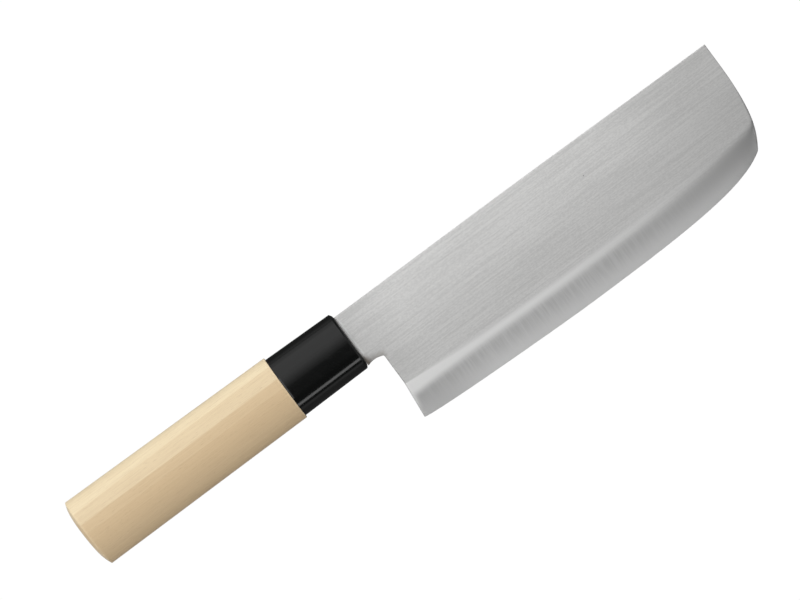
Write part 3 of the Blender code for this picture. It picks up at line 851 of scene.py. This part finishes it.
def handle_profile():
    """From the tenon's end, out over the shoulder, along the grip and round the domed butt."""
    dome = []
    for share in np.sin(np.linspace(math.pi / 2, 0, DOME_STEPS)):
        dome.append((BUTT_X + BUTT_BULGE * share ** BUTT_POWER + BUTT_ROOM, WOOD_REAR * share))
    shoulder = rounding((SHOULDER_X - SHOULDER_BREAK, WOOD_FRONT - SHOULDER_BREAK),
                        SHOULDER_BREAK, SHOULDER_BREAK, 0, 90)
    rim_x = dome[0][0]
    grip = []
    for share in np.linspace(0, 1, GRIP_STEPS)[1:]:
        grip.append((part_way(shoulder[-1][0], rim_x + BUTT_RIM_BREAK, share),
                     part_way(WOOD_FRONT, WOOD_REAR, share)))
    return [(TENON_X, 0), (TENON_X, TENON_RADIUS - TENON_BREAK), (TENON_X - TENON_BREAK, TENON_RADIUS),
            (SHOULDER_X, TENON_RADIUS)] + shoulder + grip + dome


GRAIN_PITH = (-30 * mm, -25 * mm)       # middle of the growth rings, in Y and Z, outside the grip
RING_START = 48.64 * mm
RING_WIDTH = 2.31 * mm
RING_WOBBLE = 0.5 * mm
RING_STEP = (0.0, 0.10)     # how sharply one ring ends and the next begins, as shares of its width
EARLY_WOOD = (0.45, 0.06)   # the paler wood at a ring's start fades between these shares of its width
EARLY_PALENESS = 0.10
RING_CHANCE = 0.10          # how much one ring's paleness differs from the next one's by chance
SAPWOOD = (-1.6, 1.3)       # from this ring to that one, counted from the first, the wood turns paler
WOOD_PALE = (0.905, 0.762, 0.515)
WOOD_MIDDLE = (0.745, 0.555, 0.33)
WOOD_DEEP = (0.70, 0.515, 0.31)
STRAND_CONTRAST = (0.45, 0.75)
STRAND_SHARE = 0.22
WOOD_FIBRE = (0.60, 0.42, 0.24)
FIBRE_CONTRAST = (0.42, 0.78)
FIBRE_SHARE = 0.34
WOOD_PORE = (0.50, 0.33, 0.18)
PORE_CONTRAST = (0.64, 0.74)
PORE_SHARE = 0.5
PORE_DEPTH = -0.8           # against the height of a fibre
WOOD_WORN = (0.88, 0.72, 0.48)
WOOD_WORN_SHARE = 0.5
WOOD_SMUDGE_SHARE = 0.05
WOOD_ROUGHNESS = (0.47, 0.10, -0.04)    # plain, then by fibres and smudges


def ring_paleness(tree):
    """How pale the wood is by its growth ring, by the place inside the ring, and a little by chance."""
    place = knife_place(tree)
    slow = place_group(tree, streaks, streak_size=(90 * mm, 14 * mm, 14 * mm), breaks=1.0)
    y, z = (sums(tree, "SUBTRACT", place[axis], middle) for axis, middle in zip("YZ", GRAIN_PITH))
    radius = sums(tree, "SQRT", sums(tree, "MULTIPLY_ADD", y, y, sums(tree, "MULTIPLY", z, z)))
    radius = sums(tree, "MULTIPLY_ADD", sums(tree, "SUBTRACT", slow, 0.5), RING_WOBBLE, radius)
    ring = sums(tree, "DIVIDE", sums(tree, "SUBTRACT", radius, RING_START), RING_WIDTH)
    number = sums(tree, "FLOOR", ring)
    inside = sums(tree, "FRACT", ring)
    step = between(tree, inside, *RING_STEP)
    own = between(tree, number, *SAPWOOD)
    last = between(tree, sums(tree, "SUBTRACT", number, 1.0), *SAPWOOD)
    paleness = sums(tree, "MULTIPLY_ADD", step, sums(tree, "SUBTRACT", own, last), last)
    early = product(tree, step, between(tree, inside, *EARLY_WOOD))
    chance = add_node(tree, "ShaderNodeTexWhiteNoise", {"W": number}, noise_dimensions="1D").outputs["Value"]
    swing = weighted(tree, (-RING_CHANCE / 2, RING_CHANCE, EARLY_PALENESS), chance, early)
    return sums(tree, "ADD", paleness, swing)


def wood():
    """Pale wood: growth rings cut lengthwise, drawn-out fibres, fine pores and rubbed rims."""
    material, tree, shader = new_material("pale_wood")
    fibre = place_group(tree, streaks, streak_size=(14 * mm, 0.28 * mm, 0.28 * mm), breaks=3.0)
    strand = place_group(tree, streaks, streak_size=(60 * mm, 1.1 * mm, 1.1 * mm), breaks=3.0)
    pore = place_group(tree, streaks, streak_size=(2.6 * mm, 0.11 * mm, 0.11 * mm), breaks=1.0)
    worn = place_group(tree, rim_wear, reach=0.8 * mm, unevenness=1.0, patch=5 * mm)
    smudge = place_group(tree, handling, patch=26 * mm, coverage=0.5)
    pores = between(tree, pore, *PORE_CONTRAST)
    colour = layered(
        tree, tinted(tree, ring_paleness(tree), WOOD_MIDDLE, WOOD_PALE),
        (between(tree, strand, *STRAND_CONTRAST), WOOD_DEEP, STRAND_SHARE),
        (between(tree, fibre, *FIBRE_CONTRAST), WOOD_FIBRE, FIBRE_SHARE), (pores, WOOD_PORE, PORE_SHARE),
        (worn, WOOD_WORN, WOOD_WORN_SHARE), (smudge, WOOD_FIBRE, WOOD_SMUDGE_SHARE))
    shader["Sheen Weight"].default_value = 0.6
    shader["Sheen Roughness"].default_value = 0.3
    finish_with(tree, shader, colour, weighted(tree, WOOD_ROUGHNESS, fibre, smudge),
                sums(tree, "MULTIPLY_ADD", pores, PORE_DEPTH, fibre), depth=0.03 * mm, strength=0.35)
    return material


def write_rims(piece, rims):
    """Stores how far each point lies from the nearest of a piece's rims, given as points."""
    tree = KDTree(len(rims))
    for index, point in enumerate(rims):
        tree.insert(point, index)
    tree.balance()
    write_values(piece, "rim", [tree.find(point)[2] for point in points_of(piece)])


def oval_rim(x, radius, slant=0.0):
    turn = np.linspace(0, math.tau, RIM_STEPS)
    y = radius * np.cos(turn)
    return np.column_stack((x + slant * y, y, radius * FLATNESS * np.sin(turn)))


butt_rim_x = BUTT_X + BUTT_ROOM + BUTT_BULGE
handle = turned("wooden_grip", handle_profile(), wood(), (BUTT_SLANT, butt_rim_x + SLANT_LENGTH, butt_rim_x))
hole = tapered_bar("tang_hole", TENON_X + TANG_ROOT, bedding_low.x - origin.x - JOINT_GAP,
                   JOINT_GAP + BEDDING_WALL + JOINT_GAP)
combined(handle, hole, "DIFFERENCE")
write_rims(handle, np.vstack((
    oval_rim(butt_rim_x, WOOD_REAR, BUTT_SLANT), oval_rim(SHOULDER_X, WOOD_FRONT))))
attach(handle, "root")
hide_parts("handle")

# Ferrule
# A moulded cap of glossy black plastic, glued on the tenon. It has a front wall with a slot for the
# tang, a chamfered front corner, and a socket that the wood fills from behind.
FERRULE_FRONT = 12.2 * mm
FERRULE_REAR = (ferrule_high.y - ferrule_low.y) / 2 - 0.15 * mm
FERRULE_LENGTH = ferrule_high.x - ferrule_low.x
CORNER_ALONG = 0.85 * mm
CORNER_IN = 1.35 * mm
CORNER_FLATNESS = 1.8       # nearly a straight chamfer
CORNER_HOLD = 0.05 * mm     # a point this close to the corner keeps its shading crisp
CORNER_RUBBED = 0.25        # the rubbing's middle, as a share of the corner's two lengths
CORNER_STEPS = 16
SIDE_STEPS = 40
REAR_BREAK = 0.12 * mm
FRONT_WALL = 4.0 * mm
BORE_RADIUS = 10.25 * mm


def ferrule_profile():
    """From the middle of the front face, over the chamfer and down the side, then the socket."""
    corner = rounding((-CORNER_ALONG, FERRULE_FRONT - CORNER_IN), CORNER_ALONG, CORNER_IN, 0, 90,
                      count=CORNER_STEPS, flatness=CORNER_FLATNESS)
    rear = rounding((REAR_BREAK - FERRULE_LENGTH, FERRULE_REAR - REAR_BREAK), -REAR_BREAK, REAR_BREAK, 90, 0,
                    count=5)
    side = []
    for share in np.r_[CORNER_HOLD / FERRULE_LENGTH, np.linspace(0, 1, SIDE_STEPS)[1:-1]]:
        side.append((part_way(corner[-1][0], rear[0][0], share),
                     part_way(FERRULE_FRONT, FERRULE_REAR, share)))
    return [(0, 0), (0, corner[0][1] - CORNER_HOLD)] + corner + side + rear + [
        (-FERRULE_LENGTH, BORE_RADIUS), (-FRONT_WALL, BORE_RADIUS), (-FRONT_WALL, 0)]


BLACK = (0.0030, 0.0034, 0.0032)
RUBBED_BLACK = (0.018, 0.018, 0.019)
RUBBED_SHARE = 0.5
BLACK_ROUGHNESS = (0.10, 0.03, 0.03, 0.12)      # plain, then by smudges, wiping marks and wear
WIPED_HEIGHT = 0.2          # against the ripple that moulding leaves


def black_plastic():
    """Moulded gloss plastic: deep black, with faint wiping marks and slightly rubbed rims."""
    material, tree, shader = new_material("black_plastic")
    worn = place_group(tree, rim_wear, reach=0.30 * mm, unevenness=1.0, patch=2.5 * mm)
    smudge = place_group(tree, handling, patch=9 * mm, coverage=0.5)
    ripple = place_group(tree, handling, patch=7 * mm, coverage=0.9)
    wiped = place_group(tree, streaks, streak_size=(16 * mm, 0.35 * mm, 0.35 * mm), breaks=2.0)
    finish_with(tree, shader, tinted(tree, worn, BLACK, RUBBED_BLACK, RUBBED_SHARE),
                weighted(tree, BLACK_ROUGHNESS, smudge, wiped, worn),
                sums(tree, "MULTIPLY_ADD", wiped, WIPED_HEIGHT, ripple), depth=0.01 * mm, strength=0.2)
    return material


ferrule = turned("black_ferrule", ferrule_profile(), black_plastic())
combined(ferrule, tapered_bar("tang_slot", TANG_ROOT, -FERRULE_LENGTH, JOINT_GAP), "DIFFERENCE")
corner_rim = oval_rim(-CORNER_ALONG * CORNER_RUBBED, FERRULE_FRONT - CORNER_IN * CORNER_RUBBED)
write_rims(ferrule, np.vstack((oval_rim(-FERRULE_LENGTH, FERRULE_REAR), corner_rim)))
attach(ferrule, "root")
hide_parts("ferrule")

# Bedding
# Resin poured round the tang in the burnt-in hole, where it cured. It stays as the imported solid,
# because it is sealed inside the wood.
RESIN_DARK = (0.20, 0.09, 0.03)
RESIN_LIGHT = (0.42, 0.23, 0.09)
RESIN_ROUGHNESS = (0.30, 0.25)          # plain, then by the marks of its flow


def resin():
    """Cured resin: brown, cloudy, and rough where it met the scorched wood."""
    material, tree, shader = new_material("cured_resin")
    cloud = place_group(tree, handling, patch=5 * mm, coverage=0.6)
    flow = place_group(tree, streaks, streak_size=(9 * mm, 1.2 * mm, 1.2 * mm), breaks=3.0)
    finish_with(tree, shader, tinted(tree, cloud, RESIN_DARK, RESIN_LIGHT),
                weighted(tree, RESIN_ROUGHNESS, flow), flow, depth=0.05 * mm, strength=0.4)
    return material


cured_resin = resin()
for bedding_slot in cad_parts["tang_bedding"].material_slots:
    bedding_slot.material = cured_resin

# Studio
# A plain white table under soft panels: a long window on the spine's side that fades out overhead, a
# thin strip light on the edge's side, and fills at both ends. The camera looks straight down.
TABLE_SIZE = 6.0
TABLE_DROP = 0.2 * mm
TABLE_TONE = (0.155, 0.155, 0.155)
TABLE_TONES_AND_PAINTED_SHADOW = (             # from one place to the next across the knife, it turns to another tone; the dark one next to the knife is a painted shadow
    (-25 * mm, -110 * mm, (0.20, 0.20, 0.20)), (0.0, 25 * mm, (0.06, 0.06, 0.06)),
    (25 * mm, 110 * mm, (0.31, 0.31, 0.31)))
WHITE_STRENGTH = 1.02
SKY_STRENGTH = 0.05
PHOTO_TURN = math.radians(36.4)
LENS = 200
SENSOR = 36
SEEN_WIDTH = 0.2956
SEEN_MIDDLE = (-0.0004, 0.01488)
SEEN_DEPTH = 20


def shown_white(tree, plain):
    """Shows pure white to the camera, and the plain shader to every other ray."""
    white = add_node(tree, "ShaderNodeEmission", {"Color": (1, 1, 1, 1), "Strength": WHITE_STRENGTH})
    ray = add_node(tree, "ShaderNodeLightPath").outputs["Is Camera Ray"]
    return add_node(tree, "ShaderNodeMixShader", {0: ray, 1: plain, 2: white.outputs[0]}).outputs[0]


def table():
    """The floor: white to the camera, and grey where the knife mirrors it, darkest in a painted shadow next
    to the knife.
    """
    half = TABLE_SIZE / 2
    mesh = bpy.data.meshes.new("table")
    corners = [(x, y, -TABLE_DROP) for x, y in ((-half, -half), (half, -half), (half, half), (-half, half))]
    mesh.from_pydata(corners, [], [(0, 1, 2, 3)])
    material, tree, shader = new_material("white_table")
    place = knife_place(tree)
    tone = TABLE_TONE
    for near, far, other in TABLE_TONES_AND_PAINTED_SHADOW:
        tone = tinted(tree, between(tree, place["Y"], near, far), tone, other)
    tree.links.new(tone, shader["Base Color"])
    shader["Roughness"].default_value = 0.9
    plain = tree.nodes["Principled BSDF"].outputs[0]
    tree.links.new(shown_white(tree, plain), tree.nodes["Material Output"].inputs["Surface"])
    mesh.materials.append(material)
    placed("table", mesh)


def panel(name, tilt, half_angle, length, brightness, distance=0.9, lean=0.0, shift=0.0):
    """A soft light seen from the knife at a tilt towards the spine's side and a lean towards the tip.

    Angles are in degrees. The half angle is its reach across the knife, and its length and shift run along.
    """
    light = bpy.data.lights.new(name, "AREA")
    light.shape = "RECTANGLE"
    light.size, light.size_y = length, 2 * distance * math.tan(math.radians(half_angle))
    light.energy = math.pi * light.size * light.size_y * brightness
    made = placed(name, light)
    tilt, lean = math.radians(tilt), math.radians(lean)
    towards = Vector((math.sin(lean), math.cos(lean) * math.sin(tilt), math.cos(lean) * math.cos(tilt)))
    along = (Vector((1, 0, 0)) - towards * towards.x).normalized()
    made.matrix_world = Matrix((along, towards.cross(along), towards)).transposed().to_4x4()
    made.location = towards * distance + Vector((shift, 0, 0))
    made.visible_camera = False


table()
panel("window", tilt=49, half_angle=21, length=0.6, brightness=0.89)
for step in range(3):
    panel(f"window_top_{step}", tilt=73 + 6 * step, half_angle=3, length=0.6, brightness=0.68 - 0.07 * step)
for side, brightness in ((-1, 1.38), (1, 1.42)):
    panel(f"window_end_{side}", tilt=56.5, half_angle=28.5, length=0.9, brightness=brightness,
          shift=0.75 * side)
    panel(f"end_{side}", tilt=0, half_angle=12, length=1.6, brightness=0.36, distance=1.4, lean=76 * side)
for step in range(5):
    panel(f"window_edge_{step}", tilt=-4.2 + 7.1 * step, half_angle=3.55, length=1.8,
          brightness=0.03 + 0.19 * step)
panel("strip", tilt=-61.8, half_angle=4.75, length=1.5, brightness=2.25, distance=0.8)
panel("low_strip", tilt=-84, half_angle=6, length=1.5, brightness=0.34, distance=0.8)
for tilt, lean, brightness in ((-19, -12, 1.76), (13, -12, 1.32), (-19, 8, 0.95), (13, 8, 0.65)):
    panel(f"overhead_{tilt}_{lean}", tilt, half_angle=15.8, length=0.22, brightness=brightness,
          distance=1.2, lean=lean)
for tilt, lean, brightness in ((-60, -50, 1.4), (-60, 50, 0.5), (60, -50, 1.9), (60, 50, 1.15)):
    panel(f"fill_{tilt}_{lean}", tilt, half_angle=18.4, length=0.8, brightness=brightness,
          distance=1.2, lean=lean)

world = bpy.data.worlds.new("studio")
world.use_nodes = True
bpy.context.scene.world = world
sky = world.node_tree.nodes["Background"]
sky.inputs["Color"].default_value = (1, 1, 1, 1)
sky.inputs["Strength"].default_value = SKY_STRENGTH
world.node_tree.links.new(
    shown_white(world.node_tree, sky.outputs[0]), world.node_tree.nodes["World Output"].inputs["Surface"])
bpy.context.scene.view_settings.view_transform = "Standard"

camera = placed("camera", bpy.data.cameras.new("camera"))
camera.data.lens = LENS
camera.data.sensor_width = SENSOR
camera.data.clip_end = SEEN_DEPTH
camera.location = (*SEEN_MIDDLE, blade_high.z + SEEN_WIDTH * LENS / SENSOR)
camera.rotation_euler = (0, 0, -PHOTO_TURN)
bpy.context.scene.camera = camera
